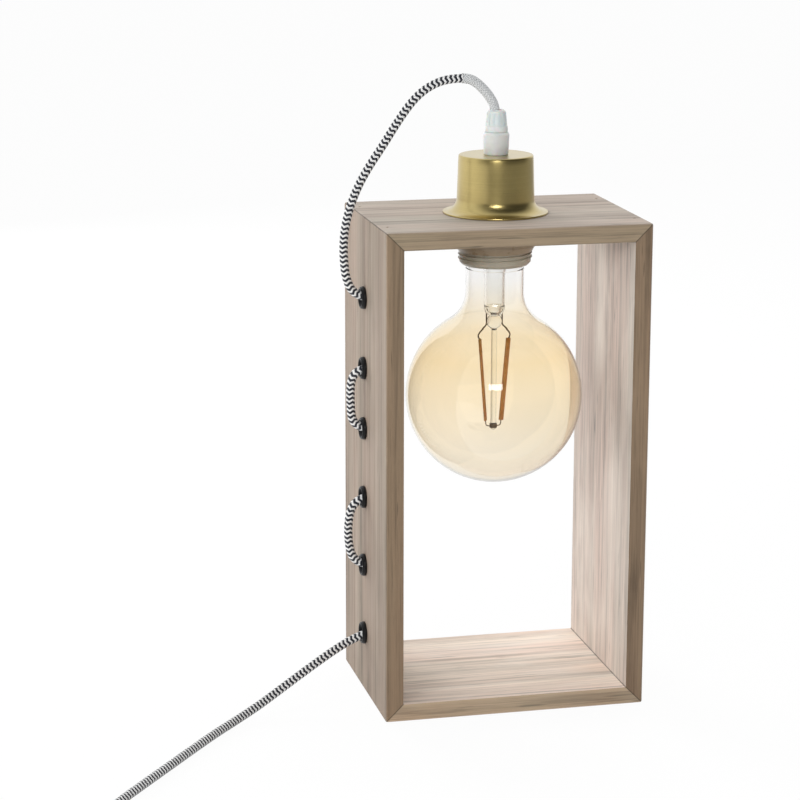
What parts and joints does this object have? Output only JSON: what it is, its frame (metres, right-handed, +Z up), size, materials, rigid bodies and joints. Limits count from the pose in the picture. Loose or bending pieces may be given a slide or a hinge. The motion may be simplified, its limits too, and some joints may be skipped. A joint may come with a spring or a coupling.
{
  "type": "bare bulb table lamp",
  "caption": "Upright open wooden frame with a large amber globe bulb hanging from a brass cup on its top board, and a textile cord laced through eyelets down one side.",
  "frame": {"origin": "middle of the underside of the bottom board, on the surface that the lamp stands on", "axes": "+X to the right across the open front, +Y from the front to the back, +Z up"},
  "size_m": [0.3231, 0.3422, 0.3359],
  "materials": {
    "wood": "washed, satin",
    "steel": "bright drawn",
    "black_enamel": "gloss black",
    "brass_satin": "satin",
    "white_plastic": "satin white",
    "cream_plastic": "matt off-white",
    "ceramic": "glazed white",
    "contact_brass": "bright",
    "brown_insulation": "smooth",
    "blue_insulation": "smooth",
    "amber_glass": "clear amber",
    "clear_glass": "clear",
    "nickel": "nickel plated",
    "black_glass": "gloss black",
    "phosphor": "translucent",
    "circuit": "satin",
    "textile": "black and white braid",
    "white_sleeve": "white braid",
    "tie_black": "matt"
  },
  "bodies": {
    "lamp": {"top_board": "wood", "bottom_board": "wood", "left_board": "wood", "right_board": "wood", "corner_pins": "steel", "cord_eyelets": "black_enamel", "brass_cup": "brass_satin", "fixing_nipple": "steel", "nipple_nut": "steel", "cord_grip_base": "white_plastic", "cord_grip_nut": "white_plastic", "holder_cap": "cream_plastic", "holder_skirt": "cream_plastic", "shade_ring": "cream_plastic", "holder_insert": "ceramic", "terminal_screws": "contact_brass", "screw_shell": "nickel", "centre_contact": "contact_brass", "live_core": "brown_insulation", "neutral_core": "blue_insulation", "switch_base": "white_plastic", "switch_cover": "white_plastic", "switch_screws": "steel", "cord_sleeve": "white_sleeve", "cord_upper": "textile", "cord_lacing": "textile", "cord_lead": "textile", "coil_link": "textile", "cord_coil": "textile", "coil_ties": "tie_black", "plug_link": "textile", "plug_body": "white_plastic", "plug_pins": "nickel"},
    "bulb_tip": {"bulb_contact": "nickel"},
    "bulb": {"bulb_glass": "amber_glass", "bulb_cap": "nickel", "bulb_insulator": "black_glass", "bulb_stem": "clear_glass", "support_rod": "clear_glass", "led_filaments": "phosphor", "filament_wires": "nickel", "led_driver": "circuit"},
    "rocker": {"switch_rocker": "white_plastic"}
  },
  "joints": [
    {"name": "bulb_travel", "type": "slide", "parent": "lamp", "child": "bulb_tip", "axis": [0, 0, -1], "range_m": [0, 0.01452]},
    {"name": "bulb_turn", "type": "hinge", "parent": "bulb_tip", "child": "bulb", "pos_m": [0, 0, 0.2], "axis": [0, 0, -1], "range_deg": [0, 1440]},
    {"name": "rocker_tilt", "type": "hinge", "parent": "lamp", "child": "rocker", "pos_m": [-0.192, -0.21, 0.01], "axis": [0, 1, 0], "range_deg": [-20, 0]}
  ],
  "couplings": [
    {"joint": "bulb_travel", "follows": "bulb_turn", "m_per_rad": 0.00057757}
  ]
}
